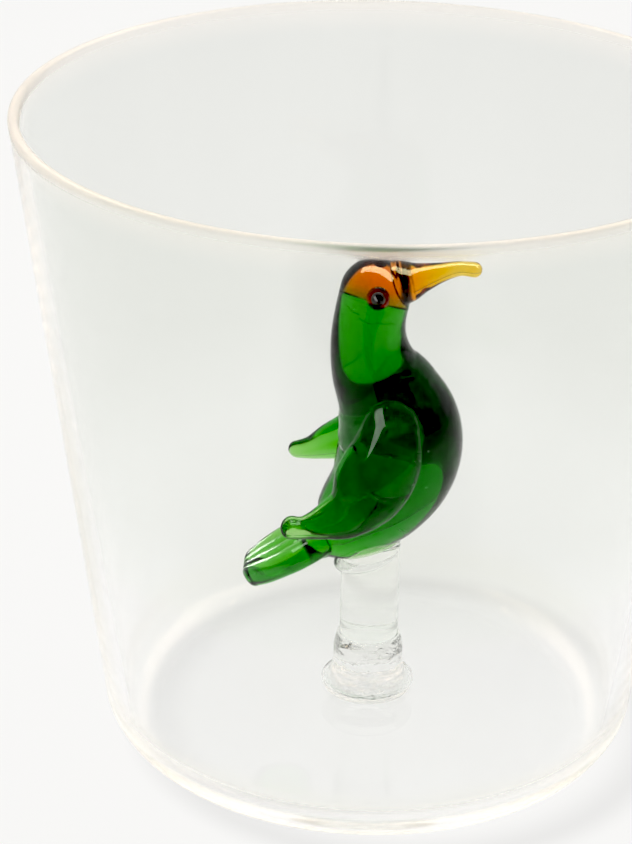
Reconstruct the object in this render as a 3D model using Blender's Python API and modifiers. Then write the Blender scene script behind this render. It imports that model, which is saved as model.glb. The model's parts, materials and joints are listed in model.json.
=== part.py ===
"""Clear drinking glass with a small coloured glass bird standing on a post inside it.

Metres, +Z up. The origin is on the axis of the glass, on the surface that it stands on.
The bird looks along +X; its right side faces -Y.
"""

import math

import bmesh
import bpy
from mathutils import Matrix, Vector

MM = 0.001
GAP = 0.3 * MM
EYE_GAP = 0.15 * MM

# Tumbler
RIM_RADIUS = 45.0 * MM
HEIGHT = 84.0 * MM
BASE_RADIUS = 34.1 * MM
RIM_WALL = 1.3 * MM
HEEL_RADIUS = 6.2 * MM
CONTACT_INNER = 22.0 * MM
CONTACT_OUTER = 28.6 * MM
UNDERSIDE_RISE = 0.5 * MM
FLOOR_EDGE_RADIUS = 27.0 * MM
FLOOR_EDGE_HEIGHT = 2.6 * MM
FLOOR_CENTRE_HEIGHT = 4.2 * MM
INNER_HEEL_RADIUS = 32.6 * MM
INNER_HEEL_HEIGHT = 7.0 * MM
TUMBLER_STEPS = 64

# Post and foot
POST_RADIUS = 3.85 * MM
POST_BOTTOM = 12.0 * MM
POST_TOP = 28.0 * MM
LIP_SIZE = Vector((4.5, 4.4, 1.2)) * MM
LIP_CENTRE = Vector((-0.5, 0.0, 23.0)) * MM
LIP_TILT = math.radians(-17)
FOOT_RADIUS = 6.1 * MM
FOOT_RING_RADIUS = 4.6 * MM
FOOT_RING_HEIGHT = 8.4 * MM
FOOT_STEPS = 32

# Bird: (x, z, radius) in millimetres, along the middle of each gather of glass
BODY_STATIONS = (
    (-6.6, 25.4, 2.9),
    (-4.3, 26.7, 4.5),
    (-1.8, 29.1, 5.9),
    (0.7, 32.0, 7.0),
    (2.5, 35.4, 7.8),
    (3.4, 39.0, 8.0),
    (2.9, 42.5, 7.8),
    (1.6, 46.0, 6.8),
    (-0.15, 49.5, 5.6),
    (-0.95, 53.0, 4.9),
    (-0.9, 56.3, 4.55),
    (-0.3, 59.7, 4.5),
)
BODY_WIDTH_RATIO = 0.92
CAP_CUT_HEIGHT = 58.7 * MM
CAP_CUT_TILT = math.radians(14)
CAP_CUT_LEAN = math.radians(-18.6)
BEAK_STATIONS = (
    (2.7, 61.1, 3.0),
    (4.1, 61.4, 2.5),
    (5.6, 61.9, 1.85),
    (8.0, 62.7, 1.2),
    (10.1, 63.2, 0.92),
    (11.9, 63.1, 0.97),
)
RIGHT_WING_STATIONS = (
    (2.1, 43.7, 3.95),
    (1.3, 40.3, 4.8),
    (-0.7, 36.8, 4.7),
    (-3.0, 34.3, 3.35),
    (-5.8, 33.1, 2.2),
    (-8.4, 32.4, 1.35),
    (-10.0, 32.4, 1.35),
)
LEFT_WING_STATIONS = (
    (3.0, 42.2, 3.7),
    (2.4, 40.0, 4.5),
    (0.2, 37.0, 4.8),
    (-2.6, 35.2, 4.1),
    (-5.4, 34.1, 3.0),
    (-8.0, 32.9, 1.9),
    (-10.0, 32.4, 1.4),
)
WING_THICKNESS_RATIO = 0.56
WING_TIP_THICKNESS_RATIO = 0.80
WING_TIP_START = -2.0 * MM
WING_TIP_END = -9.0 * MM
WING_OFFSET = 8.5 * MM
WING_ANCHOR = Vector((-1.0, 0.0, 38.0)) * MM
WING_SWEEP = 0.08
WING_LEAN = 0.29
TAIL_RIB_STATIONS = (
    (-6.4, 25.7, 1.75),
    (-9.0, 24.4, 1.75),
    (-11.6, 22.9, 1.65),
    (-13.8, 21.5, 1.6),
    (-15.2, 20.6, 1.5),
)
TAIL_RIB_COUNT = 4
TAIL_ROOT_SPREAD = 1.6 * MM
TAIL_TIP_SPREAD = 1.4 * MM
TAIL_FAN = 0.8 * MM

# Eyes
EYE_CENTRE = Vector((0.05, 4.45, 60.85)) * MM
IRIS_RADIUS = 1.45 * MM
PUPIL_RADIUS = 0.9 * MM
PUPIL_OFFSET = Vector((0.0, 1.08, 0.4)) * MM

CLEAR_GLASS = ((0.93, 0.95, 0.93, 1.0), 0.03)
GREEN_GLASS = ((0.02, 0.30, 0.03, 1.0), 0.04)
ORANGE_GLASS = ((0.75, 0.17, 0.02, 1.0), 0.04)
AMBER_GLASS = ((0.80, 0.42, 0.04, 1.0), 0.04)
BROWN_GLASS = ((0.22, 0.05, 0.01, 1.0), 0.05)
BLACK_GLASS = ((0.01, 0.01, 0.01, 1.0), 0.05)


def clear_scene():
    for obj in list(bpy.data.objects):
        bpy.data.objects.remove(obj, do_unlink=True)


def new_collection(name):
    collection = bpy.data.collections.new(name)
    bpy.context.scene.collection.children.link(collection)
    return collection


def glass(name, look):
    colour, roughness = look
    material = bpy.data.materials.new(name)
    material.use_nodes = True
    shader = material.node_tree.nodes["Principled BSDF"]
    shader.inputs["Base Color"].default_value = colour
    shader.inputs["Roughness"].default_value = roughness
    shader.inputs["Metallic"].default_value = 0.0
    shader.inputs["Transmission Weight"].default_value = 0.9
    material.diffuse_color = colour
    return material


def add_object(name, mesh, collection, material=None):
    obj = bpy.data.objects.new(name, mesh)
    collection.objects.link(obj)
    if material:
        mesh.materials.clear()
        mesh.materials.append(material)
        mesh.shade_smooth()
        mesh.set_sharp_from_angle(angle=math.radians(40))
    return obj


def as_cutter(obj):
    obj.hide_render = True
    obj.display_type = "WIRE"
    return obj


def turned(name, profile, steps, collection, material):
    """A closed turned shape; the profile (radius, height) runs down the outer side and back up."""
    mesh = bpy.data.meshes.new(name)
    work = bmesh.new()
    points = [work.verts.new((radius, 0.0, height)) for radius, height in profile]
    for start, end in zip(points, points[1:]):
        work.edges.new((start, end))
    work.to_mesh(mesh)
    work.free()
    obj = add_object(name, mesh, collection, material)
    screw = obj.modifiers.new("turn", "SCREW")
    screw.steps = steps
    screw.render_steps = steps
    screw.use_merge_vertices = True
    screw.merge_threshold = 0.00001
    screw.use_smooth_shade = True
    return obj


def arc(centre, radius, start, end, count):
    """Points on an arc, angles in degrees from +radius towards +height."""
    angles = [math.radians(start + (end - start) * i / count) for i in range(count + 1)]
    return [(centre[0] + radius * math.cos(a), centre[1] + radius * math.sin(a)) for a in angles]


def smooth_stations(stations, steps):
    """Catmull-Rom points through the stations, with their radii, in metres."""
    ends = [stations[0], *stations, stations[-1]]
    result = []
    for i in range(1, len(ends) - 2):
        p0, p1, p2, p3 = (Vector(ends[i + k]) for k in (-1, 0, 1, 2))
        for step in range(steps):
            t = step / steps
            point = 0.5 * (
                2 * p1
                + (p2 - p0) * t
                + (2 * p0 - 5 * p1 + 4 * p2 - p3) * t ** 2
                + (3 * p1 - p0 - 3 * p2 + p3) * t ** 3
            )
            result.append(point * MM)
    result.append(Vector(stations[-1]) * MM)
    return result


def rounded_end(points, count=4):
    """Extra points past the last one that close the tube with a round cap."""
    last = points[-1]
    direction = last - points[-2]
    direction.z = 0.0
    direction.normalize()
    cap = []
    for i in range(1, count + 1):
        angle = math.radians(84) * i / count
        place = last + direction * last.z * math.sin(angle)
        place.z = last.z * math.cos(angle)
        cap.append(place)
    return points + cap


def tube_mesh(name, stations, sides, steps=2, grow=0.0):
    """A gather of glass: a closed tube along the stations, round at both ends."""
    points = rounded_end(smooth_stations(stations, steps))
    points = rounded_end(points[::-1])[::-1]
    curve = bpy.data.curves.new(name, "CURVE")
    curve.dimensions = "3D"
    curve.bevel_depth = MM
    curve.bevel_resolution = sides // 2 - 2
    curve.use_fill_caps = True
    spline = curve.splines.new("POLY")
    spline.points.add(len(points) - 1)
    for point, (x, z, radius) in zip(spline.points, points):
        point.co = (x, 0.0, z, 1.0)
        point.radius = (radius + grow) / MM
    obj = bpy.data.objects.new(name, curve)
    bpy.context.scene.collection.objects.link(obj)
    depsgraph = bpy.context.evaluated_depsgraph_get()
    mesh = bpy.data.meshes.new_from_object(obj.evaluated_get(depsgraph))
    bpy.data.objects.remove(obj, do_unlink=True)
    bpy.data.curves.remove(curve)
    work = bmesh.new()
    work.from_mesh(mesh)
    bmesh.ops.remove_doubles(work, verts=work.verts, dist=0.000002)
    bmesh.ops.recalc_face_normals(work, faces=work.faces)
    work.to_mesh(mesh)
    work.free()
    return mesh


def ball(name, radius, centre, collection, material=None, segments=16, rings=10):
    mesh = bpy.data.meshes.new(name)
    work = bmesh.new()
    bmesh.ops.create_uvsphere(work, u_segments=segments, v_segments=rings, radius=radius)
    work.to_mesh(mesh)
    work.free()
    obj = add_object(name, mesh, collection, material)
    obj.location = centre
    return obj


def boolean(obj, cutter, operation="DIFFERENCE"):
    modifier = obj.modifiers.new(operation.lower(), "BOOLEAN")
    modifier.operation = operation
    modifier.solver = "EXACT"
    modifier.object = cutter
    return modifier


def tumbler_profile():
    """Rim, outer wall, heel, contact ring and underside, then the floor and the inner wall."""
    lean = (RIM_RADIUS - BASE_RADIUS) / HEIGHT
    lean_angle = math.degrees(math.atan(lean))
    rim = RIM_WALL / 2
    rim_centre = (RIM_RADIUS - rim, HEIGHT - rim)
    heel_centre = (CONTACT_OUTER, HEEL_RADIUS)
    profile = arc(rim_centre, rim, 90, -lean_angle, 3)
    profile += arc(heel_centre, HEEL_RADIUS, -lean_angle, -90, 5)
    profile += underside_points()
    profile += floor_points()
    inner_heel = (INNER_HEEL_RADIUS, INNER_HEEL_HEIGHT)
    profile.append(inner_heel)
    profile += arc(rim_centre, rim, 180 - lean_angle, 90, 3)
    return profile


def underside_points(count=5):
    points = []
    for i in range(count + 1):
        radius = CONTACT_INNER * (1 - i / count)
        height = UNDERSIDE_RISE * math.cos(math.pi / 2 * radius / CONTACT_INNER) ** 2
        points.append((radius, height))
    return points


def floor_points(count=5, heel_count=4):
    """From the axis out: the raised middle, the floor, then the curve up into the wall."""
    rise = FLOOR_CENTRE_HEIGHT - FLOOR_EDGE_HEIGHT
    points = []
    for i in range(count + 1):
        radius = FLOOR_EDGE_RADIUS * i / count
        height = FLOOR_EDGE_HEIGHT + rise * math.cos(math.pi / 2 * radius / FLOOR_EDGE_RADIUS) ** 2
        points.append((radius, height))
    width = INNER_HEEL_RADIUS - FLOOR_EDGE_RADIUS
    height = INNER_HEEL_HEIGHT - FLOOR_EDGE_HEIGHT
    for i in range(1, heel_count):
        angle = math.pi / 2 * i / heel_count
        points.append(
            (FLOOR_EDGE_RADIUS + width * math.sin(angle), FLOOR_EDGE_HEIGHT + height * (1 - math.cos(angle)))
        )
    return points


def foot_profile():
    """A ring, a waist, then a skirt that spreads onto the floor."""
    top = POST_BOTTOM - GAP
    bottom = FLOOR_CENTRE_HEIGHT + GAP
    skirt = []
    for i in range(7):
        t = i / 6
        radius = FOOT_RING_RADIUS + (FOOT_RADIUS - FOOT_RING_RADIUS) * t ** 2
        height = FOOT_RING_HEIGHT + (bottom + 0.9 * MM - FOOT_RING_HEIGHT) * math.sin(math.pi / 2 * t)
        skirt.append((radius, height))
    return [
        (0.0, top),
        (POST_RADIUS, top),
        (POST_RADIUS + 0.4 * MM, top - 0.5 * MM),
        (FOOT_RING_RADIUS, FOOT_RING_HEIGHT + 1.4 * MM),
        *skirt,
        (FOOT_RADIUS - 0.3 * MM, bottom),
        (0.0, bottom),
    ]


def make_tumbler(parts):
    return turned("tumbler", tumbler_profile(), TUMBLER_STEPS, parts, glass("clear_tumbler", CLEAR_GLASS))


def make_post(parts, cutters, body_cutter):
    profile = [(0.0, POST_TOP), (POST_RADIUS, POST_TOP), (POST_RADIUS, POST_BOTTOM), (0.0, POST_BOTTOM)]
    post = turned("post", profile, FOOT_STEPS, parts, glass("clear_post", CLEAR_GLASS))
    lip = as_cutter(ball("post_lip", 1.0, LIP_CENTRE, cutters))
    lip.data.transform(Matrix.Diagonal((*LIP_SIZE, 1.0)))
    lip.rotation_euler.y = LIP_TILT
    boolean(post, lip, "UNION")
    boolean(post, body_cutter)
    return post


def make_foot(parts):
    return turned("post_foot", foot_profile(), FOOT_STEPS, parts, glass("clear_foot", CLEAR_GLASS))


def body_mesh(name, grow=0.0):
    mesh = tube_mesh(name, BODY_STATIONS, 20, grow=grow)
    mesh.transform(Matrix.Diagonal((1.0, BODY_WIDTH_RATIO, 1.0, 1.0)))
    return mesh


def cap_box(name, height, cutters):
    """A box whose lower face is the slanting plane where the orange cap meets the green neck."""
    size = 20 * MM
    mesh = bpy.data.meshes.new(name)
    work = bmesh.new()
    bmesh.ops.create_cube(work, size=size)
    bmesh.ops.translate(work, verts=work.verts, vec=(0.0, 0.0, size / 2))
    work.to_mesh(mesh)
    work.free()
    box = as_cutter(add_object(name, mesh, cutters))
    box.matrix_world = (
        Matrix.Translation((0.0, 0.0, height))
        @ Matrix.Rotation(CAP_CUT_LEAN, 4, "X")
        @ Matrix.Rotation(CAP_CUT_TILT, 4, "Y")
    )
    return box


def make_body(parts, cutters):
    body = add_object("bird_body", body_mesh("bird_body"), parts, glass("green_body", GREEN_GLASS))
    boolean(body, cap_box("cap_space", CAP_CUT_HEIGHT, cutters))
    return body


def make_cap(parts, cutters):
    cap = add_object("head_cap", body_mesh("head_cap"), parts, glass("orange_cap", ORANGE_GLASS))
    boolean(cap, cap_box("cap_limit", CAP_CUT_HEIGHT + GAP, cutters), "INTERSECT")
    return cap


def make_beak(parts, body_cutter):
    mesh = tube_mesh("beak", BEAK_STATIONS, 12)
    beak = add_object("beak", mesh, parts, glass("amber_beak", AMBER_GLASS))
    boolean(beak, body_cutter)
    return beak


def wing_mesh(name, side, stations, sides):
    """A gather flattened into a wing, rounder to its tip, leaning out over the flank; side -1 is right."""
    mesh = tube_mesh(name, stations, sides)
    start = WING_OFFSET + WING_SWEEP * WING_ANCHOR.x + WING_LEAN * WING_ANCHOR.z
    for vertex in mesh.vertices:
        spot = vertex.co
        t = min(max((spot.x - WING_TIP_START) / (WING_TIP_END - WING_TIP_START), 0.0), 1.0)
        ratio = WING_THICKNESS_RATIO + (WING_TIP_THICKNESS_RATIO - WING_THICKNESS_RATIO) * t
        spot.y = side * (ratio * spot.y + start - WING_SWEEP * spot.x - WING_LEAN * spot.z)
    if side < 0:
        mesh.flip_normals()
    return mesh


def make_wing(name, side, stations, parts, body_cutter):
    mesh = wing_mesh(name, side, stations, 16)
    wing = add_object(name, mesh, parts, glass(name + "_green", GREEN_GLASS))
    boolean(wing, body_cutter)
    return wing


def tail_spread(x):
    """Distance between two ribs of the tail; they fan out and close again at the tip."""
    root = TAIL_RIB_STATIONS[0][0] * MM
    tip = TAIL_RIB_STATIONS[-1][0] * MM
    t = min(max((x - root) / (tip - root), 0.0), 1.0)
    return TAIL_ROOT_SPREAD + (TAIL_TIP_SPREAD - TAIL_ROOT_SPREAD) * t + TAIL_FAN * 4 * t * (1 - t)


def tail_section(radius, spread, arc_steps):
    """Outline of round ribs side by side, as a closed loop of (across, up) pairs."""
    middle = (TAIL_RIB_COUNT - 1) / 2
    groove = math.acos(min(spread / (2 * radius), 0.95))
    outline = []
    for turn, sign in ((0.0, 1), (math.pi, -1)):
        for i in range(TAIL_RIB_COUNT):
            first = 0.0 if i == 0 else groove
            last = math.pi if i == TAIL_RIB_COUNT - 1 else math.pi - groove
            for step in range(arc_steps):
                angle = turn + first + (last - first) * step / arc_steps
                across = radius * math.cos(angle) + sign * (middle - i) * spread
                outline.append((across, radius * math.sin(angle)))
    return outline


def tail_mesh(name, steps, arc_steps):
    """Ribs of glass side by side, melted into one paddle with a round end."""
    points = rounded_end(smooth_stations(TAIL_RIB_STATIONS, steps))
    points = rounded_end(points[::-1])[::-1]
    tip_radius = TAIL_RIB_STATIONS[-1][2] * MM
    work = bmesh.new()
    rings = []
    for i, (x, z, radius) in enumerate(points):
        before = points[max(i - 1, 0)]
        after = points[min(i + 1, len(points) - 1)]
        along = Vector((after[0] - before[0], after[1] - before[1])).normalized()
        spread = tail_spread(x) * min(radius / tip_radius, 1.0)
        ring = []
        for across, up in tail_section(radius, spread, arc_steps):
            ring.append(work.verts.new((x + up * along.y, across, z - up * along.x)))
        rings.append(ring)
    count = len(rings[0])
    for one, two in zip(rings, rings[1:]):
        for j in range(count):
            k = (j + 1) % count
            work.faces.new((one[j], one[k], two[k], two[j]))
    work.faces.new(rings[0])
    work.faces.new(rings[-1])
    bmesh.ops.recalc_face_normals(work, faces=work.faces)
    mesh = bpy.data.meshes.new(name)
    work.to_mesh(mesh)
    work.free()
    return mesh


def make_tail(parts, body_cutter):
    tail = add_object("tail", tail_mesh("tail", 2, 4), parts, glass("green_tail", GREEN_GLASS))
    boolean(tail, body_cutter)
    return tail


def make_eye(name, side, parts, cutters, body_cutter):
    centre = Vector((EYE_CENTRE.x, side * EYE_CENTRE.y, EYE_CENTRE.z))
    pupil_centre = centre + Vector((0.0, side * PUPIL_OFFSET.y, PUPIL_OFFSET.z))
    iris = ball(name + "_iris", IRIS_RADIUS, centre, parts, glass(name + "_brown", BROWN_GLASS))
    ball(name + "_pupil", PUPIL_RADIUS, pupil_centre, parts, glass(name + "_black", BLACK_GLASS))
    socket = as_cutter(ball(name + "_socket", PUPIL_RADIUS + EYE_GAP, pupil_centre, cutters))
    boolean(iris, body_cutter)
    boolean(iris, socket)


def main():
    clear_scene()
    parts = new_collection("bird_tumbler")
    cutters = new_collection("cutters")
    body_cutter = as_cutter(add_object("body_space", body_mesh("body_space", GAP), cutters))
    make_tumbler(parts)
    make_post(parts, cutters, body_cutter)
    make_foot(parts)
    make_body(parts, cutters)
    make_cap(parts, cutters)
    make_beak(parts, body_cutter)
    make_tail(parts, body_cutter)
    for name, side, stations in (("right", -1, RIGHT_WING_STATIONS), ("left", 1, LEFT_WING_STATIONS)):
        make_wing(name + "_wing", side, stations, parts, body_cutter)
        make_eye(name, side, parts, cutters, body_cutter)


main()
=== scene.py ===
"""Looks of a clear drinking glass with a small coloured glass bird on a post inside it."""

import json
import math

import bmesh
import bpy
from mathutils import Matrix, Vector

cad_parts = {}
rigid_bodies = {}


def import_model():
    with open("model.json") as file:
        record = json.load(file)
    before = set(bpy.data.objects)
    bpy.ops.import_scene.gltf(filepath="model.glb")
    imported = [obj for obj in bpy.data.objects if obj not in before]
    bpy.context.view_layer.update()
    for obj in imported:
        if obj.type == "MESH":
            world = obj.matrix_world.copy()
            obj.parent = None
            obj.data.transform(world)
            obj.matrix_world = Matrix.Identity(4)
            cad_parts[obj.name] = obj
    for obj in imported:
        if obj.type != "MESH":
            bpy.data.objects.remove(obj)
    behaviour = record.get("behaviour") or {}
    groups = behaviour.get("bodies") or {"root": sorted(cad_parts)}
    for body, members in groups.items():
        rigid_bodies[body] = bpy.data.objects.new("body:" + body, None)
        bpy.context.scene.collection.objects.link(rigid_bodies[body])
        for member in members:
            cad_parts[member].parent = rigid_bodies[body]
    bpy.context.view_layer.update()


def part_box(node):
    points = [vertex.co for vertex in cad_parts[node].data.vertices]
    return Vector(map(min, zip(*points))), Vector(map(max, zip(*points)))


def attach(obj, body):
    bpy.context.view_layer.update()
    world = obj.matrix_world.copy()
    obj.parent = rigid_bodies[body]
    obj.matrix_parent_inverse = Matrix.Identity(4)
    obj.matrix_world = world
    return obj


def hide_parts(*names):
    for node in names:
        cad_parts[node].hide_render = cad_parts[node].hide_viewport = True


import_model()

MM = 0.001
ROOT = "root"
SINK = 0.25 * MM

# Tumbler: the rim's radius and the height come from its packed box, and the rest is as in the model
_, TUMBLER_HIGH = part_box("tumbler")
RIM_RADIUS = TUMBLER_HIGH.x
HEIGHT = TUMBLER_HIGH.z
BASE_RADIUS = 34.1 * MM
RIM_WALL = 1.3 * MM
HEEL_RADIUS = 6.2 * MM
CONTACT_INNER = 22.0 * MM
CONTACT_OUTER = 28.6 * MM
UNDERSIDE_RISE = 0.5 * MM
FLOOR_EDGE_RADIUS = 27.0 * MM
FLOOR_EDGE_HEIGHT = 2.6 * MM
FLOOR_CENTRE_HEIGHT = 4.2 * MM
INNER_HEEL_RADIUS = 32.6 * MM
INNER_HEEL_HEIGHT = 7.0 * MM
TUMBLER_STEPS = 512

# Post and foot
POST_RADIUS = 3.85 * MM
POST_BOTTOM = 11.6 * MM
POST_TOP = 28.0 * MM
LIP_SIZE = Vector((4.5, 4.4, 1.2)) * MM
LIP_CENTRE = Vector((-0.5, 0.0, 23.0)) * MM
LIP_TILT = math.radians(-17)
FOOT_RADIUS = 6.1 * MM
FOOT_RING_RADIUS = 4.6 * MM
FOOT_RING_HEIGHT = 8.4 * MM
FOOT_STEPS = 96

# How finely the meshes are divided; a round end stops just short of its pole
TUBE_SIDES = 80
TUBE_STEPS = 14
RIB_ARC_STEPS = 16
END_STEPS = 24
END_LAST_ANGLE = math.radians(89)
SKIRT_STEPS = 24
SHARP_ANGLE = math.radians(30)
MERGE_DISTANCE = 0.0005 * MM

# Bird: (x, z, radius) in millimetres along the middle of each gather. The stations are the model's, except
# the top one of each wing, which is higher and narrower because the wing's end follows its taper here.
BODY_STATIONS = (
    (-6.6, 25.4, 2.9),
    (-4.3, 26.7, 4.5),
    (-1.8, 29.1, 5.9),
    (0.7, 32.0, 7.0),
    (2.5, 35.4, 7.8),
    (3.4, 39.0, 8.0),
    (2.9, 42.5, 7.8),
    (1.6, 46.0, 6.8),
    (-0.15, 49.5, 5.6),
    (-0.95, 53.0, 4.9),
    (-0.9, 56.3, 4.55),
    (-0.3, 59.7, 4.5),
)
BODY_WIDTH_RATIO = 0.92
CAP_CUT_HEIGHT = 58.7 * MM
CAP_CUT_TILT = math.radians(14)
CAP_CUT_LEAN = math.radians(-18.6)
BEAK_STATIONS = (
    (2.7, 61.1, 3.0),
    (4.1, 61.4, 2.5),
    (5.6, 61.9, 1.85),
    (8.0, 62.7, 1.2),
    (10.1, 63.2, 0.92),
    (11.9, 63.1, 0.97),
)
RIGHT_WING_STATIONS = (
    (2.3, 44.9, 3.6),
    (1.3, 40.3, 4.8),
    (-0.7, 36.8, 4.7),
    (-3.0, 34.3, 3.35),
    (-5.8, 33.1, 2.2),
    (-8.4, 32.4, 1.35),
    (-10.0, 32.4, 1.35),
)
LEFT_WING_STATIONS = (
    (3.1, 43.3, 3.4),
    (2.4, 40.0, 4.5),
    (0.2, 37.0, 4.8),
    (-2.6, 35.2, 4.1),
    (-5.4, 34.1, 3.0),
    (-8.0, 32.9, 1.9),
    (-10.0, 32.4, 1.4),
)
WING_THICKNESS_RATIO = 0.56
WING_TIP_THICKNESS_RATIO = 0.80
WING_TIP_START = -2.0 * MM
WING_TIP_END = -9.0 * MM
WING_OFFSET = 8.5 * MM
WING_ANCHOR = Vector((-1.0, 0.0, 38.0)) * MM
WING_SWEEP = 0.08
WING_LEAN = 0.29
TAIL_RIB_STATIONS = (
    (-6.4, 25.7, 1.75),
    (-9.0, 24.4, 1.75),
    (-11.6, 22.9, 1.65),
    (-13.8, 21.5, 1.6),
    (-15.2, 20.6, 1.5),
)
TAIL_RIB_COUNT = 4
TAIL_ROOT_SPREAD = 1.6 * MM
TAIL_TIP_SPREAD = 1.4 * MM
TAIL_FAN = 0.8 * MM

EYE_CENTRE = Vector((0.05, 4.45, 60.85)) * MM
IRIS_RADIUS = 1.45 * MM
PUPIL_RADIUS = 0.9 * MM
PUPIL_OFFSET = Vector((0.0, 1.08, 0.4)) * MM

GLASS_IOR = 1.47
BLACK_IOR = 1.6

# How strongly the tumbler and the irises mirror their surroundings; clean glass is 1
TUMBLER_MIRROR = 0.35
IRIS_MIRROR = 0.25

# Absorption per millimetre of glass for red, green and blue
GREEN_ABSORPTION = (0.48, 0.125, 0.72)
ORANGE_ABSORPTION = (0.015, 0.215, 0.95)
AMBER_ABSORPTION = (0.005, 0.22, 1.5)
BROWN_ABSORPTION = (0.30, 1.6, 3.5)

# Tint of the tumbler from its base (0) to its rim (1): a faint glass colour with painted shade, lightest over
# the lower third, darker over the upper half and warmer at the rim
WALL_TINTS_AND_SHADE = (
    (0.0, (0.970, 0.972, 0.968)),
    (0.03, (0.968, 0.972, 0.952)),
    (0.07, (0.975, 0.978, 0.950)),
    (0.12, (0.990, 0.995, 0.985)),
    (0.33, (0.985, 0.992, 0.980)),
    (0.50, (0.930, 0.940, 0.920)),
    (0.950, (0.915, 0.925, 0.903)),
    (0.985, (0.985, 0.970, 0.935)),
    (1.0, (0.985, 0.960, 0.915)),
)
# Painted shade on the tumbler: its floor darker, its near wall lighter and its far wall darker
FLOOR_PAINTED_SHADE = 0.955
NEAR_WALL_PAINTED_LIGHT = 1.03
FAR_WALL_PAINTED_SHADE = 0.965
RIM_ROUGHNESS = 0.34
HEEL_ROUGHNESS = 0.14

# Greenish cast low in the orange cap, where it melts into the green
MELT_CAST = (0.30, 1.0, 1.0)
MELT_DEPTH = 2.0 * MM

# Painted shade: a dark band across the beak where it is fused on: its place along x, its half width and its
# darkness
BEAK_SHADE_MIDDLE = 3.3 * MM
BEAK_SHADE_WIDTH = 0.75 * MM
BEAK_SHADE_TONE = 0.10

# Scale of each uneven pattern in the glass
STREAK_SCALE = 60.0
CORD_SCALE = 500.0
PATCH_SCALE = 140.0
SEED_SCALE = 900.0
WIGGLE_SCALE = 700.0
BLACK_PATCH_SCALE = 900.0

# Fine cracks on the right side of the neck, each between two places (x, z) in metres
CRACK_WIDTH = 0.09 * MM
CRACK_TONE = 0.25
NECK_CRACKS = (
    ((-0.0026, 0.0578), (0.0024, 0.0570)),
    ((-0.0046, 0.0502), (-0.0016, 0.0536)),
    ((-0.0042, 0.0590), (-0.0020, 0.0584)),
)

# Camera: its distance in rim radii, its lens and sensor in millimetres
CAMERA_DISTANCE = 8.077
CAMERA_ELEVATION = math.radians(31.52)
CAMERA_PITCH = math.radians(25.56)
CAMERA_YAW = math.radians(1.37)
CAMERA_ROLL = math.radians(1.01)
CAMERA_LENS = 115.2
CAMERA_SENSOR = 36.0
CAMERA_NEAR_CLIP = 0.01

# Table top, with a painted soft shadow beside the heel and a painted dark reflection: a patch in front that
# is dark only where reflections see it
TABLE_SIZE = 3.0
TABLE_DROP = 0.2 * MM
TABLE_COLOUR = (0.865, 0.857, 0.842)
SHADOW_CENTRE = (4.5 * MM, -1.5 * MM, 0.0)
SHADOW_INSIDE = (27.0 * MM, 34.0 * MM)
SHADOW_OUTSIDE = (32.5 * MM, 37.8 * MM)
SHADOW_DEPTH = 0.12
DARK_REFLECTION_START = (-60.0 * MM, -85.0 * MM)
DARK_REFLECTION_HALF_WIDTH = (40.0 * MM, 60.0 * MM)

# Surroundings: dark in front, bright behind, and the level seen through one wall of the glass
FRONT_LEVEL = 0.04
BACK_LEVEL = 1.01
BACKDROP_COLOUR = (0.98, 0.99, 1.0)
WALL_FILL = (0.84, 0.84, 0.77)
FILL_DEPTH = 3.5
BLACK_LEVEL = 0.03
LIGHT_BOUNCES = 128
DIFFUSE_BOUNCES = 6

# Lamps, facing the bird: name, width, height, place, turn in degrees and power in watts. Every lamp but
# the first shows only as a highlight, in its colour, on one group of pieces. The small ones stand inside
# the tumbler.
BIRD_MIDDLE = Vector((0.0, 0.0, 0.04))
WHITE = (1.0, 1.0, 1.0)
CREAM = (1.0, 0.98, 0.62)
PEACH = (1.0, 0.80, 0.60)
TABLE_LAMP = ("wide_softbox", 0.5, 1.5, (0.0, 0.1, 0.9), 0.0, 6.9)
HIGHLIGHT_LAMPS = (
    ("long_softbox", 0.40, 1.7, (0.12, 0.03, 0.88), -33.0, 26.0, "head_pieces", CREAM),
    ("front_softbox", 0.010, 0.027, (-0.0080, -0.0180, 0.0618), 35.0, 0.0036, "wing_pieces", WHITE),
    ("right_card", 0.020, 0.024, (0.0290, -0.0120, 0.0540), 0.0, 0.0005, "body_pieces", WHITE),
    ("left_softbox", 0.008, 0.014, (-0.018, -0.004, 0.042), 0.0, 0.0020, "tail_pieces", WHITE),
    ("back_softbox", 0.008, 0.010, (-0.0245, 0.0120, 0.0280), 0.0, 0.0020, "tail_pieces", WHITE),
    ("left_warm_box", 0.6, 0.4, (-0.37, 0.39, 0.72), 0.0, 8.0, "rim_pieces", PEACH),
    ("right_warm_box", 0.6, 0.4, (0.37, 0.39, 0.72), 0.0, 8.0, "rim_pieces", PEACH),
)
LIT_GROUPS = {
    "head_pieces": ("head_cap_glass", "beak_glass"),
    "body_pieces": ("bird_body_glass",),
    "wing_pieces": ("right_wing_glass", "right_pupil_glass"),
    "tail_pieces": ("tail_glass",),
    "rim_pieces": ("glass_tumbler",),
}

scene = bpy.context.scene


def glass_material(name, absorption=None, mirror=1.0):
    """Clear or solid coloured glass; absorption is per millimetre."""
    material = bpy.data.materials.new(name)
    material.use_nodes = True
    nodes = material.node_tree.nodes
    shader = nodes["Principled BSDF"]
    shader.inputs["Base Color"].default_value = (1.0, 1.0, 1.0, 1.0)
    shader.inputs["Roughness"].default_value = 0.0
    shader.inputs["IOR"].default_value = GLASS_IOR
    shader.inputs["Transmission Weight"].default_value = 1.0
    shader.inputs["Specular Tint"].default_value = (mirror, mirror, mirror, 1.0)
    if absorption:
        strongest = max(absorption)
        volume = nodes.new("ShaderNodeVolumeAbsorption")
        volume.inputs["Color"].default_value = (*(1 - a / strongest for a in absorption), 1.0)
        volume.inputs["Density"].default_value = strongest / MM
        output = nodes["Material Output"]
        material.node_tree.links.new(volume.outputs["Volume"], output.inputs["Volume"])
    return material


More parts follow.
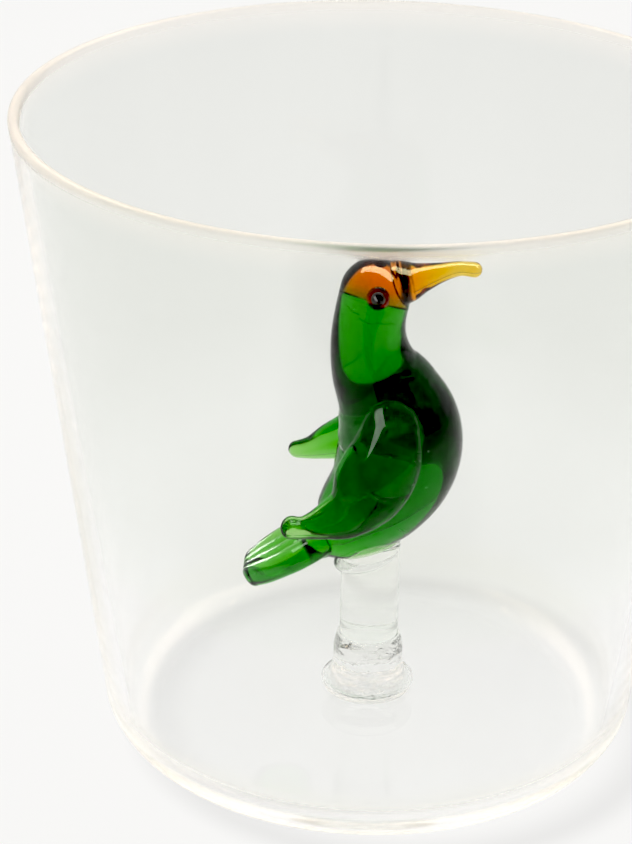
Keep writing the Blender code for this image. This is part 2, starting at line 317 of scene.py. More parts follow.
def add_map(nodes, links, value, low, high, start, end, smooth=False):
    """A node that maps the value from low..high onto start..end."""
    node = nodes.new("ShaderNodeMapRange")
    if smooth:
        node.interpolation_type = "SMOOTHSTEP"
    node.inputs["From Min"].default_value = low
    node.inputs["From Max"].default_value = high
    node.inputs["To Min"].default_value = start
    node.inputs["To Max"].default_value = end
    links.new(value, node.inputs["Value"])
    return node.outputs["Result"]


def add_math(nodes, links, operation, *values):
    """A node that does arithmetic on values, each a socket or a number."""
    node = nodes.new("ShaderNodeMath")
    node.operation = operation
    for socket, value in zip(node.inputs, values):
        if isinstance(value, (int, float)):
            socket.default_value = value
        else:
            links.new(value, socket)
    return node.outputs["Value"]


def add_scale(nodes, links, vector, amount):
    """A node that multiplies a vector or colour, given as a socket or as three numbers, by the amount."""
    node = nodes.new("ShaderNodeVectorMath")
    node.operation = "SCALE"
    if isinstance(vector, tuple):
        node.inputs["Vector"].default_value = vector
    else:
        links.new(vector, node.inputs["Vector"])
    links.new(amount, node.inputs["Scale"])
    return node.outputs["Vector"]


def add_noise(nodes, links, spot, scale, detail=2.0):
    """A node with a cloudy value from 0 to 1."""
    node = nodes.new("ShaderNodeTexNoise")
    node.inputs["Scale"].default_value = scale
    node.inputs["Detail"].default_value = detail
    links.new(spot, node.inputs["Vector"])
    return node.outputs["Fac"]


def add_stretch(nodes, links, spot, scale, turn=0.0):
    """A node that scales the place along each axis, after a turn about Y."""
    node = nodes.new("ShaderNodeMapping")
    node.inputs["Scale"].default_value = scale
    node.inputs["Rotation"].default_value = (0.0, turn, 0.0)
    links.new(spot, node.inputs["Vector"])
    return node.outputs["Vector"]


def add_ramp(nodes, links, value, stops):
    """A node that turns the value into a colour; the stops are (position, colour), lowest first."""
    node = nodes.new("ShaderNodeValToRGB")
    elements = node.color_ramp.elements
    for i, (position, colour) in enumerate((stops[0], stops[-1])):
        elements[i].position = position
        elements[i].color = (*colour, 1.0)
    for position, colour in stops[1:-1]:
        elements.new(position).color = (*colour, 1.0)
    links.new(value, node.inputs["Fac"])
    return node.outputs["Color"]


def add_position(nodes, links):
    """The place on the piece, in metres, and its three parts."""
    texture = nodes.new("ShaderNodeTexCoord")
    split = nodes.new("ShaderNodeSeparateXYZ")
    links.new(texture.outputs["Object"], split.inputs["Vector"])
    return texture.outputs["Object"], split.outputs


def finish_tumbler_glass(material):
    """A faint tint with painted shade that changes up the wall, painted shade on the floor and the far wall,
    faint streaks, and a softer fire-polished rim and heel.
    """
    nodes, links = material.node_tree.nodes, material.node_tree.links
    shader = nodes["Principled BSDF"]
    spot, parts = add_position(nodes, links)
    level = add_math(nodes, links, "DIVIDE", parts["Z"], HEIGHT)
    # The tint up the wall carries painted shade as well as the glass's faint colour
    tint = add_ramp(nodes, links, level, WALL_TINTS_AND_SHADE)
    streaks = add_noise(nodes, links, add_stretch(nodes, links, spot, (1.0, 1.0, 0.25)), STREAK_SCALE, 3.0)
    faint = add_map(nodes, links, streaks, 0.3, 0.7, 0.985, 1.0)
    flat = nodes.new("ShaderNodeCombineXYZ")
    links.new(parts["X"], flat.inputs["X"])
    links.new(parts["Y"], flat.inputs["Y"])
    length = nodes.new("ShaderNodeVectorMath")
    length.operation = "LENGTH"
    links.new(flat.outputs["Vector"], length.inputs["Vector"])
    radial = length.outputs["Value"]
    # Painted shade: the tumbler's floor darker, its near wall lighter and its far wall darker
    floor = add_map(nodes, links, radial, FLOOR_EDGE_RADIUS, CONTACT_OUTER + 2 * MM, FLOOR_PAINTED_SHADE, 1.0)
    near_far_shade = add_map(nodes, links, parts["Y"], -20 * MM, 20 * MM, NEAR_WALL_PAINTED_LIGHT, FAR_WALL_PAINTED_SHADE)
    streaks_and_shade = add_math(nodes, links, "MULTIPLY", add_math(nodes, links, "MULTIPLY", faint, floor), near_far_shade)
    links.new(add_scale(nodes, links, tint, streaks_and_shade), shader.inputs["Base Color"])
    rim_start, rim_full = HEIGHT - 2.0 * MM, HEIGHT - 0.8 * MM
    rim = add_map(nodes, links, parts["Z"], rim_start, rim_full, 0.0, RIM_ROUGHNESS, smooth=True)
    low = add_map(nodes, links, parts["Z"], 6 * MM, 11 * MM, HEEL_ROUGHNESS, 0.0, smooth=True)
    outside = add_map(nodes, links, radial, CONTACT_OUTER, CONTACT_OUTER + 2 * MM, 0.0, 1.0)
    heel = add_math(nodes, links, "MULTIPLY", low, outside)
    links.new(add_math(nodes, links, "MAXIMUM", rim, heel), shader.inputs["Roughness"])


def finish_rod_glass(material):
    """Wavy, hand-drawn rod glass with faint cords in it."""
    nodes, links = material.node_tree.nodes, material.node_tree.links
    shader = nodes["Principled BSDF"]
    spot, parts = add_position(nodes, links)
    cords = add_noise(nodes, links, add_stretch(nodes, links, spot, (1.0, 1.0, 1.6), 0.5), CORD_SCALE, 3.0)
    amount = add_map(nodes, links, parts["Z"], 6 * MM, 12 * MM, 1.0, 0.12, smooth=True)
    bump = nodes.new("ShaderNodeBump")
    bump.inputs["Strength"].default_value = 0.35
    bump.inputs["Distance"].default_value = 0.6 * MM
    links.new(add_math(nodes, links, "MULTIPLY", cords, amount), bump.inputs["Height"])
    links.new(bump.outputs["Normal"], shader.inputs["Normal"])
    tints = ((0.35, (0.985, 1.0, 0.970)), (0.65, (1.0, 1.0, 0.992)))
    links.new(add_ramp(nodes, links, cords, tints), shader.inputs["Base Color"])


def add_crack(nodes, links, parts, wiggle, start, end):
    """A fine wavy line on the side of the neck, between two places (x, z): 1 on it, 0 away from it."""
    slope = (end[1] - start[1]) / (end[0] - start[0])
    along = add_math(nodes, links, "MULTIPLY_ADD", parts["X"], slope, start[1] - slope * start[0])
    line = add_math(nodes, links, "ADD", along, wiggle)
    away = add_math(nodes, links, "ABSOLUTE", add_math(nodes, links, "SUBTRACT", parts["Z"], line))
    near = add_map(nodes, links, away, 0.0, CRACK_WIDTH, 1.0, 0.0)
    middle, half = (start[0] + end[0]) / 2, abs(end[0] - start[0]) / 2
    aside = add_math(nodes, links, "ABSOLUTE", add_math(nodes, links, "SUBTRACT", parts["X"], middle))
    inside = add_map(nodes, links, aside, half * 0.8, half, 1.0, 0.0, smooth=True)
    front = add_map(nodes, links, parts["Y"], 0.0, -1.0 * MM, 0.0, 1.0)
    return add_math(nodes, links, "MULTIPLY", add_math(nodes, links, "MULTIPLY", near, inside), front)


def add_melt(nodes, links, parts, wiggle):
    """The cast of the next colour, fading out above the tilted boundary between the cap and the body."""
    lean = add_math(nodes, links, "MULTIPLY_ADD", parts["Y"], -math.tan(CAP_CUT_LEAN), parts["Z"])
    tilt = add_math(nodes, links, "MULTIPLY_ADD", parts["X"], math.tan(CAP_CUT_TILT), lean)
    uneven = add_math(nodes, links, "ADD", tilt, wiggle)
    top = CAP_CUT_HEIGHT + MELT_DEPTH
    mix = nodes.new("ShaderNodeMix")
    mix.data_type = "RGBA"
    mix.inputs["A"].default_value = (*MELT_CAST, 1.0)
    mix.inputs["B"].default_value = (1.0, 1.0, 1.0, 1.0)
    amount = add_map(nodes, links, uneven, CAP_CUT_HEIGHT, top, 0.0, 1.0, smooth=True)
    links.new(amount, mix.inputs["Factor"])
    return mix.outputs["Result"]


def finish_coloured_glass(material, cracks=(), melts=False, shaded_root=False):
    """Tiny seeds and a little unevenness; cracks, the next colour melting in, or a band of painted shade
    where the beak is fused on.
    """
    nodes, links = material.node_tree.nodes, material.node_tree.links
    shader = nodes["Principled BSDF"]
    spot, parts = add_position(nodes, links)
    seeds = nodes.new("ShaderNodeTexVoronoi")
    seeds.inputs["Scale"].default_value = SEED_SCALE
    links.new(spot, seeds.inputs["Vector"])
    patches = add_noise(nodes, links, spot, PATCH_SCALE)
    size = add_map(nodes, links, patches, 0.45, 0.68, 0.0, 0.085)
    seed = add_math(nodes, links, "LESS_THAN", seeds.outputs["Distance"], size)
    links.new(add_math(nodes, links, "MULTIPLY", seed, 0.5), shader.inputs["Roughness"])
    level = add_map(nodes, links, patches, 0.3, 0.7, 0.92, 1.0)
    wavy = add_noise(nodes, links, spot, WIGGLE_SCALE)
    wiggle = add_map(nodes, links, wavy, 0.0, 1.0, -0.6 * MM, 0.6 * MM)
    for start, end in cracks:
        line = add_crack(nodes, links, parts, wiggle, start, end)
        dark = add_map(nodes, links, line, 0.0, 1.0, 1.0, CRACK_TONE)
        level = add_math(nodes, links, "MULTIPLY", level, dark)
    if shaded_root:
        # Painted shade: a dark band across the beak's root
        beside = add_math(nodes, links, "SUBTRACT", parts["X"], BEAK_SHADE_MIDDLE)
        away = add_math(nodes, links, "ABSOLUTE", beside)
        inner, outer = 0.4 * BEAK_SHADE_WIDTH, BEAK_SHADE_WIDTH
        dark = add_map(nodes, links, away, inner, outer, BEAK_SHADE_TONE, 1.0, smooth=True)
        level = add_math(nodes, links, "MULTIPLY", level, dark)
    tint = add_melt(nodes, links, parts, wiggle) if melts else (1.0, 1.0, 1.0)
    links.new(add_scale(nodes, links, tint, level), shader.inputs["Base Color"])


def black_material(name):
    """Opaque glass, a touch warmer in patches, with a slightly uneven polish."""
    material = bpy.data.materials.new(name)
    material.use_nodes = True
    nodes, links = material.node_tree.nodes, material.node_tree.links
    shader = nodes["Principled BSDF"]
    shader.inputs["Base Color"].default_value = (0.01, 0.004, 0.003, 1.0)
    shader.inputs["IOR"].default_value = BLACK_IOR
    spot, _ = add_position(nodes, links)
    patches = add_noise(nodes, links, spot, BLACK_PATCH_SCALE)
    tints = ((0.35, (0.006, 0.002, 0.001)), (0.70, (0.020, 0.006, 0.003)))
    links.new(add_ramp(nodes, links, patches, tints), shader.inputs["Base Color"])
    links.new(add_map(nodes, links, patches, 0.3, 0.7, 0.02, 0.06), shader.inputs["Roughness"])
    return material


def place(obj, node):
    """Makes a piece part of the object, standing for the model's node. The lamps shine through it."""
    obj.visible_shadow = False
    obj.visible_diffuse = False
    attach(obj, ROOT)
    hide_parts(node)


def shade(mesh):
    """Smooth shading, with the cut edges kept sharp so that light isn't bent wrongly near them."""
    mesh.shade_smooth()
    mesh.set_sharp_from_angle(angle=SHARP_ANGLE)


def add_piece(name, mesh, material=None):
    """A smoothly shaded object with the mesh and the material."""
    obj = bpy.data.objects.new(name, mesh)
    scene.collection.objects.link(obj)
    if material:
        mesh.materials.clear()
        mesh.materials.append(material)
    shade(mesh)
    return obj


def apply_modifiers(obj):
    """Turns what the modifiers give into the object's own mesh."""
    depsgraph = bpy.context.evaluated_depsgraph_get()
    mesh = bpy.data.meshes.new_from_object(obj.evaluated_get(depsgraph))
    obj.modifiers.clear()
    obj.data = mesh
    shade(mesh)


def remove(obj):
    """Deletes a helper object."""
    bpy.data.objects.remove(obj, do_unlink=True)


def turned_mesh(name, profile, steps):
    """A solid of revolution about Z; the profile is (radius, height) pairs."""
    mesh = bpy.data.meshes.new(name)
    work = bmesh.new()
    points = [work.verts.new((radius, 0.0, height)) for radius, height in profile]
    for start, end in zip(points, points[1:]):
        work.edges.new((start, end))
    work.to_mesh(mesh)
    work.free()
    obj = bpy.data.objects.new(name, mesh)
    scene.collection.objects.link(obj)
    screw = obj.modifiers.new("turn", "SCREW")
    screw.steps = steps
    screw.render_steps = steps
    screw.use_merge_vertices = True
    screw.merge_threshold = 0.001 * MM
    apply_modifiers(obj)
    mesh = obj.data
    remove(obj)
    return mesh


def straight(start, end, count):
    """Points between two ends of a straight stretch, closest together near the ends."""
    points = []
    for i in range(1, count):
        t = (1 - math.cos(math.pi * i / count)) / 2
        points.append(tuple(a + (b - a) * t for a, b in zip(start, end)))
    return points


def arc(centre, radius, start, end, count):
    """Points along part of a circle, between two angles in degrees."""
    angles = [math.radians(start + (end - start) * i / count) for i in range(count + 1)]
    return [(centre[0] + radius * math.cos(a), centre[1] + radius * math.sin(a)) for a in angles]


def smooth_stations(stations, steps):
    """Catmull-Rom points through the stations, with their radii, in metres."""
    ends = [stations[0], *stations, stations[-1]]
    result = []
    for i in range(1, len(ends) - 2):
        p0, p1, p2, p3 = (Vector(ends[i + k]) for k in (-1, 0, 1, 2))
        for step in range(steps):
            t = step / steps
            point = 0.5 * (
                2 * p1
                + (p2 - p0) * t
                + (2 * p0 - 5 * p1 + 4 * p2 - p3) * t ** 2
                + (3 * p1 - p0 - 3 * p2 + p3) * t ** 3
            )
            result.append(point * MM)
    result.append(Vector(stations[-1]) * MM)
    return result


def rounded_end(points, tangent=False):
    """The points with a round end added; a tangent end carries on the taper of the last stretch."""
    last = points[-1]
    direction = last - points[-2]
    taper = direction.z
    direction.z = 0.0
    slope = taper / direction.length if tangent else 0.0
    direction.normalize()
    centre = last + direction * last.z * slope
    radius = last.z * math.sqrt(1.0 + slope * slope)
    first = -math.atan(slope)
    cap = []
    for i in range(1, END_STEPS + 1):
        angle = first + (END_LAST_ANGLE - first) * i / END_STEPS
        spot = centre + direction * radius * math.sin(angle)
        spot.z = radius * math.cos(angle)
        cap.append(spot)
    return points + cap


def tube_mesh(name, stations, grow=0.0, tangent=False):
    """A gather of glass: a closed tube along the stations, round at both ends."""
    points = rounded_end(smooth_stations(stations, TUBE_STEPS))
    points = rounded_end(points[::-1], tangent=tangent)[::-1]
    curve = bpy.data.curves.new(name, "CURVE")
    curve.dimensions = "3D"
    curve.bevel_depth = MM
    curve.bevel_resolution = TUBE_SIDES // 2 - 2
    curve.use_fill_caps = True
    spline = curve.splines.new("POLY")
    spline.points.add(len(points) - 1)
    for point, (x, z, radius) in zip(spline.points, points):
        point.co = (x, 0.0, z, 1.0)
        point.radius = max(radius + grow, 0.02 * MM) / MM
    obj = bpy.data.objects.new(name, curve)
    scene.collection.objects.link(obj)
    depsgraph = bpy.context.evaluated_depsgraph_get()
    mesh = bpy.data.meshes.new_from_object(obj.evaluated_get(depsgraph))
    remove(obj)
    work = bmesh.new()
    work.from_mesh(mesh)
    bmesh.ops.remove_doubles(work, verts=work.verts, dist=MERGE_DISTANCE)
    bmesh.ops.recalc_face_normals(work, faces=work.faces)
    work.to_mesh(mesh)
    work.free()
    return mesh


def ball_mesh(name, radius):
    """A ball about the origin."""
    mesh = bpy.data.meshes.new(name)
    work = bmesh.new()
    bmesh.ops.create_uvsphere(work, u_segments=48, v_segments=32, radius=radius)
    work.to_mesh(mesh)
    work.free()
    return mesh


def boolean(obj, cutter, operation="DIFFERENCE"):
    """Cuts the piece with another, joins them, or keeps what they share."""
    modifier = obj.modifiers.new(operation.lower(), "BOOLEAN")
    modifier.operation = operation
    modifier.solver = "EXACT"
    modifier.object = cutter
    apply_modifiers(obj)


def tumbler_profile():
    """Outline of the wall, heel and floor: down the outside, under the base and up the inside."""
    lean = (RIM_RADIUS - BASE_RADIUS) / HEIGHT
    lean_angle = math.degrees(math.atan(lean))
    rim = RIM_WALL / 2
    rim_centre = (RIM_RADIUS - rim, HEIGHT - rim)
    heel_centre = (CONTACT_OUTER, HEEL_RADIUS)
    rim_outside = arc(rim_centre, rim, 90, -lean_angle, 16)
    heel = arc(heel_centre, HEEL_RADIUS, -lean_angle, -90, 28)
    underside = underside_points(24)
    inside = floor_points(24, 16)
    rim_inside = arc(rim_centre, rim, 180 - lean_angle, 90, 16)
    return [
        *rim_outside,
        *straight(rim_outside[-1], heel[0], 20),
        *heel,
        *straight(heel[-1], underside[0], 8),
        *underside,
        *inside,
        *straight(inside[-1], rim_inside[0], 20),
        *rim_inside,
    ]


def underside_points(count):
    """The shallow rise of the underside, from the standing ring to the axis."""
    points = []
    for i in range(count + 1):
        radius = CONTACT_INNER * (1 - i / count)
        height = UNDERSIDE_RISE * math.cos(math.pi / 2 * radius / CONTACT_INNER) ** 2
        points.append((radius, height))
    return points


def floor_points(count, heel_count):
    """The floor inside, from the axis to the heel, and the turn up into the wall."""
    rise = FLOOR_CENTRE_HEIGHT - FLOOR_EDGE_HEIGHT
    points = []
    for i in range(count + 1):
        radius = FLOOR_EDGE_RADIUS * i / count
        height = FLOOR_EDGE_HEIGHT + rise * math.cos(math.pi / 2 * radius / FLOOR_EDGE_RADIUS) ** 2
        points.append((radius, height))
    width = INNER_HEEL_RADIUS - FLOOR_EDGE_RADIUS
    height = INNER_HEEL_HEIGHT - FLOOR_EDGE_HEIGHT
    for i in range(1, heel_count + 1):
        angle = math.pi / 2 * i / heel_count
        across = FLOOR_EDGE_RADIUS + width * math.sin(angle)
        points.append((across, FLOOR_EDGE_HEIGHT + height * (1 - math.cos(angle))))
    return points


def foot_profile():
    """Outline of the foot: a ring under the post, and a skirt that flares onto the floor."""
    top = POST_BOTTOM + SINK
    bottom = FLOOR_CENTRE_HEIGHT - SINK
    skirt = []
    for i in range(SKIRT_STEPS + 1):
        t = i / SKIRT_STEPS
        radius = FOOT_RING_RADIUS + (FOOT_RADIUS - FOOT_RING_RADIUS) * t ** 2
        height = FOOT_RING_HEIGHT + (bottom + 0.9 * MM - FOOT_RING_HEIGHT) * math.sin(math.pi / 2 * t)
        skirt.append((radius, height))
    return [
        (0.0, top),
        (POST_RADIUS, top),
        (POST_RADIUS + 0.4 * MM, top - 0.5 * MM),
        (FOOT_RING_RADIUS, FOOT_RING_HEIGHT + 1.4 * MM),
        *skirt,
        (FOOT_RADIUS - 0.3 * MM, bottom),
        (0.0, bottom),
    ]


def make_clear_glass(body_cutter):
    """The tumbler, the post with its lip under the bird, and the post's foot."""
    clear = glass_material("clear_glass", mirror=TUMBLER_MIRROR)
    finish_tumbler_glass(clear)
    mesh = turned_mesh("glass_tumbler", tumbler_profile(), TUMBLER_STEPS)
    tumbler = add_piece("glass_tumbler", mesh, clear)
    place(tumbler, "tumbler")
    top, bottom = (POST_RADIUS, POST_TOP), (POST_RADIUS, POST_BOTTOM)
    profile = [(0.0, POST_TOP), top, *straight(top, bottom, 24), bottom, (0.0, POST_BOTTOM)]
    rod = glass_material("rod_glass")
    finish_rod_glass(rod)
    post = add_piece("glass_post", turned_mesh("glass_post", profile, FOOT_STEPS), rod)
    lip = add_piece("lip", ball_mesh("lip", 1.0))
    lip.data.transform(Matrix.Diagonal((*LIP_SIZE, 1.0)))
    lip.data.transform(Matrix.Translation(LIP_CENTRE) @ Matrix.Rotation(LIP_TILT, 4, "Y"))
    boolean(post, lip, "UNION")
    remove(lip)
    boolean(post, body_cutter)
    place(post, "post")
    foot = add_piece("glass_foot", turned_mesh("glass_foot", foot_profile(), FOOT_STEPS), rod)
    place(foot, "post_foot")


def body_mesh(name, grow=0.0):
    """The belly, breast, neck and head in one, slightly narrower than deep."""
    mesh = tube_mesh(name, BODY_STATIONS, grow=grow)
    mesh.transform(Matrix.Diagonal((1.0, BODY_WIDTH_RATIO, 1.0, 1.0)))
    return mesh


def cap_box(height):
    """A box over the tilted boundary between the green head and its orange cap."""
    size = 20 * MM
    mesh = bpy.data.meshes.new("cap_box")
    work = bmesh.new()
    bmesh.ops.create_cube(work, size=size)
    bmesh.ops.translate(work, verts=work.verts, vec=(0.0, 0.0, size / 2))
    work.to_mesh(mesh)
    work.free()
    turn = Matrix.Rotation(CAP_CUT_LEAN, 4, "X") @ Matrix.Rotation(CAP_CUT_TILT, 4, "Y")
    mesh.transform(Matrix.Translation((0.0, 0.0, height)) @ turn)
    return add_piece("cap_box", mesh)


def wing_mesh(name, side, stations):
    """A gather flattened into a wing, rounder to its tip, leaning out over the flank; side -1 is right."""
    mesh = tube_mesh(name, stations, tangent=True)
    start = WING_OFFSET + WING_SWEEP * WING_ANCHOR.x + WING_LEAN * WING_ANCHOR.z
    for vertex in mesh.vertices:
        spot = vertex.co
        t = min(max((spot.x - WING_TIP_START) / (WING_TIP_END - WING_TIP_START), 0.0), 1.0)
        ratio = WING_THICKNESS_RATIO + (WING_TIP_THICKNESS_RATIO - WING_THICKNESS_RATIO) * t
        spot.y = side * (ratio * spot.y + start - WING_SWEEP * spot.x - WING_LEAN * spot.z)
    if side < 0:
        mesh.flip_normals()
    return mesh


def tail_spread(x):
    """Distance between two ribs of the tail; they fan out and close again at the tip."""
    root = TAIL_RIB_STATIONS[0][0] * MM
    tip = TAIL_RIB_STATIONS[-1][0] * MM
    t = min(max((x - root) / (tip - root), 0.0), 1.0)
    return TAIL_ROOT_SPREAD + (TAIL_TIP_SPREAD - TAIL_ROOT_SPREAD) * t + TAIL_FAN * 4 * t * (1 - t)


def tail_section(radius, spread):
    """Outline of round ribs side by side, as a closed loop of (across, up) pairs."""
    middle = (TAIL_RIB_COUNT - 1) / 2
    groove = math.acos(min(spread / (2 * radius), 0.95))
    outline = []
    for turn, sign in ((0.0, 1), (math.pi, -1)):
        for i in range(TAIL_RIB_COUNT):
            first = 0.0 if i == 0 else groove
            last = math.pi if i == TAIL_RIB_COUNT - 1 else math.pi - groove
            for step in range(RIB_ARC_STEPS):
                angle = turn + first + (last - first) * step / RIB_ARC_STEPS
                across = radius * math.cos(angle) + sign * (middle - i) * spread
                outline.append((across, radius * math.sin(angle)))
    return outline


def tail_mesh(name):
    """Ribs of glass side by side, melted into one paddle with a round end."""
    points = rounded_end(smooth_stations(TAIL_RIB_STATIONS, TUBE_STEPS))
    points = rounded_end(points[::-1])[::-1]
    tip_radius = TAIL_RIB_STATIONS[-1][2] * MM
    work = bmesh.new()
    rings = []
    for i, (x, z, radius) in enumerate(points):
        before = points[max(i - 1, 0)]
        after = points[min(i + 1, len(points) - 1)]
        along = Vector((after[0] - before[0], after[1] - before[1])).normalized()
        spread = tail_spread(x) * min(radius / tip_radius, 1.0)
        ring = []
        for across, up in tail_section(radius, spread):
            ring.append(work.verts.new((x + up * along.y, across, z - up * along.x)))
        rings.append(ring)
    count = len(rings[0])
    for one, two in zip(rings, rings[1:]):
        for j in range(count):
            k = (j + 1) % count
            work.faces.new((one[j], one[k], two[k], two[j]))
    work.faces.new(rings[0])
    work.faces.new(rings[-1])
    bmesh.ops.recalc_face_normals(work, faces=work.faces)
    mesh = bpy.data.meshes.new(name)
    work.to_mesh(mesh)
    work.free()
    return mesh


def make_bird(body_cutter):
    """The coloured pieces, each cut back to where it is fused to the body."""
    green = glass_material("green_glass", absorption=GREEN_ABSORPTION)
    orange = glass_material("orange_glass", absorption=ORANGE_ABSORPTION)
    amber = glass_material("amber_glass", absorption=AMBER_ABSORPTION)
    finish_coloured_glass(green, cracks=NECK_CRACKS)
    finish_coloured_glass(orange, melts=True)
    finish_coloured_glass(amber, shaded_root=True)
    body = add_piece("bird_body_glass", body_mesh("bird_body_glass"), green)
    box = cap_box(CAP_CUT_HEIGHT + SINK / 2)
    boolean(body, box)
    remove(box)
    place(body, "bird_body")
    cap = add_piece("head_cap_glass", body_mesh("head_cap_glass"), orange)
    box = cap_box(CAP_CUT_HEIGHT - SINK / 2)
    boolean(cap, box, "INTERSECT")
    remove(box)
    place(cap, "head_cap")
    beak = add_piece("beak_glass", tube_mesh("beak_glass", BEAK_STATIONS), amber)
    boolean(beak, body_cutter)
    place(beak, "beak")
    tail = add_piece("tail_glass", tail_mesh("tail_glass"), green)
    boolean(tail, body_cutter)
    place(tail, "tail")
    for name, side, stations in (("right", -1, RIGHT_WING_STATIONS), ("left", 1, LEFT_WING_STATIONS)):
        wing = add_piece(name + "_wing_glass", wing_mesh(name + "_wing_glass", side, stations), green)
        boolean(wing, body_cutter)
        place(wing, name + "_wing")
        make_eye(name, side, body_cutter)


def make_eye(name, side, body_cutter):
    """A brown dot of glass on the side of the head, with a black dot on it."""
    centre = Vector((EYE_CENTRE.x, side * EYE_CENTRE.y, EYE_CENTRE.z))
    pupil_centre = centre + Vector((0.0, side * PUPIL_OFFSET.y, PUPIL_OFFSET.z))
    brown = glass_material(name + "_brown", absorption=BROWN_ABSORPTION, mirror=IRIS_MIRROR)
    finish_coloured_glass(brown)
    iris = add_piece(name + "_iris_glass", ball_mesh(name + "_iris_glass", IRIS_RADIUS), brown)
    iris.data.transform(Matrix.Translation(centre))
    boolean(iris, body_cutter)
    place(iris, name + "_iris")
    pupil = add_piece(
        name + "_pupil_glass", ball_mesh(name + "_pupil_glass", PUPIL_RADIUS), black_material(name + "_black")
    )
    pupil.data.transform(Matrix.Translation(pupil_centre))
    place(pupil, name + "_pupil")


def make_stage():
    """Pale table top, with a painted soft shadow beside the heel and a painted dark patch in front that only
    reflections show.
    """
    mesh = bpy.data.meshes.new("floor")
    work = bmesh.new()
    bmesh.ops.create_grid(work, x_segments=1, y_segments=1, size=TABLE_SIZE)
    work.to_mesh(mesh)
    work.free()
    floor = bpy.data.objects.new("floor", mesh)
    scene.collection.objects.link(floor)
    material = bpy.data.materials.new("floor_white")
    material.use_nodes = True
    nodes, links = material.node_tree.nodes, material.node_tree.links
    shader = nodes["Principled BSDF"]
    shader.inputs["Roughness"].default_value = 0.9
    shader.inputs["Specular IOR Level"].default_value = 0.0
    spot, parts = add_position(nodes, links)
    # Painted reflection: the table dark in front, but only where a first mirror bounce sees it
    front = add_map(nodes, links, parts["Y"], *DARK_REFLECTION_START, 0.0, 1.0, smooth=True)
    aside = add_math(nodes, links, "ABSOLUTE", parts["X"])
    middle = add_map(nodes, links, aside, *DARK_REFLECTION_HALF_WIDTH, 1.0, 0.0, smooth=True)
    path = nodes.new("ShaderNodeLightPath")
    mirrored = add_math(nodes, links, "COMPARE", path.outputs["Glossy Depth"], 1.0, 0.5)
    dark_reflection = add_math(nodes, links, "MULTIPLY", add_math(nodes, links, "MULTIPLY", front, middle), mirrored)
    # Painted shadow: the table darker in a soft ring beside the tumbler's heel
    centre = nodes.new("ShaderNodeVectorMath")
    centre.operation = "DISTANCE"
    centre.inputs[1].default_value = SHADOW_CENTRE
    links.new(spot, centre.inputs[0])
    away = centre.outputs["Value"]
    outer = add_map(nodes, links, away, *SHADOW_OUTSIDE, SHADOW_DEPTH, 0.0, smooth=True)
    inner = add_map(nodes, links, away, *SHADOW_INSIDE, 0.0, 1.0, smooth=True)
    shadow = add_math(nodes, links, "SUBTRACT", 1.0, add_math(nodes, links, "MULTIPLY", outer, inner))
    lit = add_math(nodes, links, "MULTIPLY", shadow, add_math(nodes, links, "SUBTRACT", 1.0, dark_reflection))
    links.new(add_scale(nodes, links, TABLE_COLOUR, lit), shader.inputs["Base Color"])
    mesh.materials.append(material)
    floor.location.z = -TABLE_DROP


def make_lamp(name, width, height, location, turn, power):
    """A rectangular lamp facing the bird, turned about its own axis by so many degrees."""
    light = bpy.data.lights.new(name, "AREA")
    light.shape = "RECTANGLE"
    light.size = width
    light.size_y = height
    light.energy = power
    obj = bpy.data.objects.new(name, light)
    scene.collection.objects.link(obj)
    obj.location = location
    facing = (BIRD_MIDDLE - Vector(location)).to_track_quat("-Z", "Y").to_matrix().to_4x4()
    obj.matrix_world = Matrix.Translation(location) @ facing @ Matrix.Rotation(math.radians(turn), 4, "Z")
    return obj


def make_lamps():
    """A wide soft lamp for the table, and lamps that show only as highlights on the bird and the rim."""
    groups = {name: group(name, pieces) for name, pieces in LIT_GROUPS.items()}
    wide = make_lamp(*TABLE_LAMP)
    wide.visible_glossy = False
    wide.visible_transmission = False
    for *details, pieces, colour in HIGHLIGHT_LAMPS:
        lamp = make_lamp(*details)
        lamp.data.color = colour
        lamp.visible_camera = False
        lamp.visible_diffuse = False
        lamp.visible_transmission = False
        lamp.light_linking.receiver_collection = groups[pieces]


def group(name, pieces):
    """A collection of the pieces, used only to tell the lamps what to shine on."""
    collection = bpy.data.collections.new(name)
    for obj in scene.objects:
        if obj.name in pieces:
            collection.objects.link(obj)
    return collection


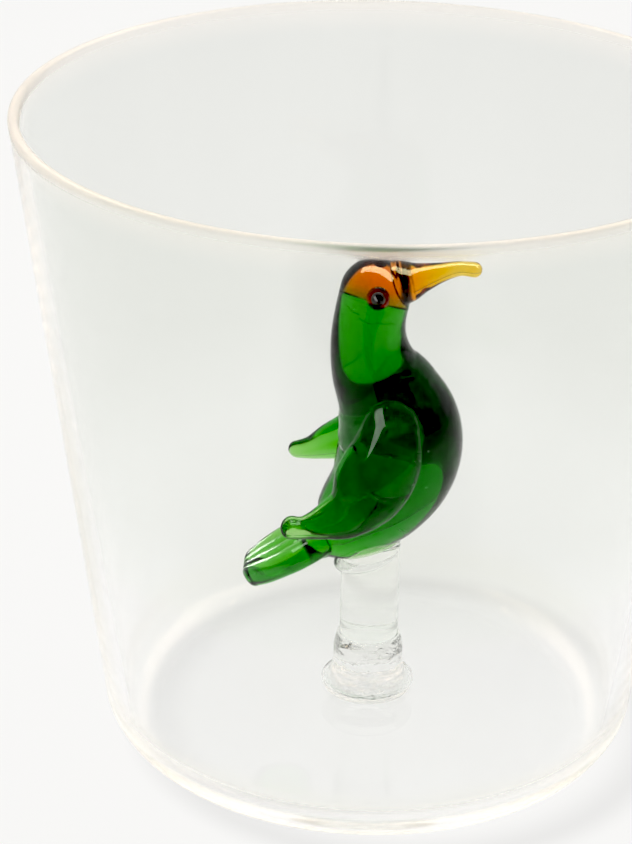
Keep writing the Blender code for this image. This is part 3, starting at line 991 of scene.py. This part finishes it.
def make_world():
    """Studio with a bright backdrop and sides; dark behind the camera, except as seen through one wall."""
    world = bpy.data.worlds.new("studio")
    scene.world = world
    world.use_nodes = True
    nodes, links = world.node_tree.nodes, world.node_tree.links
    background = nodes["Background"]
    texture = nodes.new("ShaderNodeTexCoord")
    split = nodes.new("ShaderNodeSeparateXYZ")
    links.new(texture.outputs["Generated"], split.inputs["Vector"])
    level = add_map(nodes, links, split.outputs["Y"], -0.35, 0.35, FRONT_LEVEL, BACK_LEVEL, smooth=True)
    backdrop = add_scale(nodes, links, BACKDROP_COLOUR, level)
    path = nodes.new("ShaderNodeLightPath")
    shallow = add_math(nodes, links, "LESS_THAN", path.outputs["Transmission Depth"], FILL_DEPTH)
    through = add_math(nodes, links, "MULTIPLY", shallow, path.outputs["Is Transmission Ray"])
    fill = add_scale(nodes, links, WALL_FILL, through)
    brighter = nodes.new("ShaderNodeVectorMath")
    brighter.operation = "MAXIMUM"
    links.new(backdrop, brighter.inputs[0])
    links.new(fill, brighter.inputs[1])
    links.new(brighter.outputs["Vector"], background.inputs["Color"])


def make_camera():
    """A long lens in front of the glass, looking down at it."""
    camera = bpy.data.cameras.new("camera")
    camera.lens = CAMERA_LENS
    camera.sensor_width = CAMERA_SENSOR
    camera.clip_start = CAMERA_NEAR_CLIP
    obj = bpy.data.objects.new("camera", camera)
    scene.collection.objects.link(obj)
    distance = CAMERA_DISTANCE * RIM_RADIUS
    spot = Vector((0.0, -distance * math.cos(CAMERA_ELEVATION), distance * math.sin(CAMERA_ELEVATION)))
    turn = Matrix.Rotation(CAMERA_YAW, 4, "Z") @ Matrix.Rotation(math.pi / 2 - CAMERA_PITCH, 4, "X")
    obj.matrix_world = Matrix.Translation(spot) @ turn @ Matrix.Rotation(CAMERA_ROLL, 4, "Z")
    scene.camera = obj


def set_view():
    """Plain colours with slightly deepened blacks, and enough bounces for light to cross every wall."""
    scene.view_settings.view_transform = "Standard"
    scene.view_settings.look = "None"
    scene.cycles.max_bounces = LIGHT_BOUNCES
    scene.cycles.transmission_bounces = LIGHT_BOUNCES
    scene.cycles.glossy_bounces = LIGHT_BOUNCES
    scene.cycles.diffuse_bounces = DIFFUSE_BOUNCES
    scene.cycles.caustics_refractive = False
    scene.cycles.caustics_reflective = False
    scene.view_settings.use_curve_mapping = True
    scene.view_settings.curve_mapping.black_level = (BLACK_LEVEL, BLACK_LEVEL, BLACK_LEVEL)
    scene.view_settings.curve_mapping.update()


make_camera()
set_view()
make_world()
make_stage()
cutter = add_piece("body_space", body_mesh("body_space", -SINK))
make_clear_glass(cutter)
make_bird(cutter)
remove(cutter)
make_lamps()
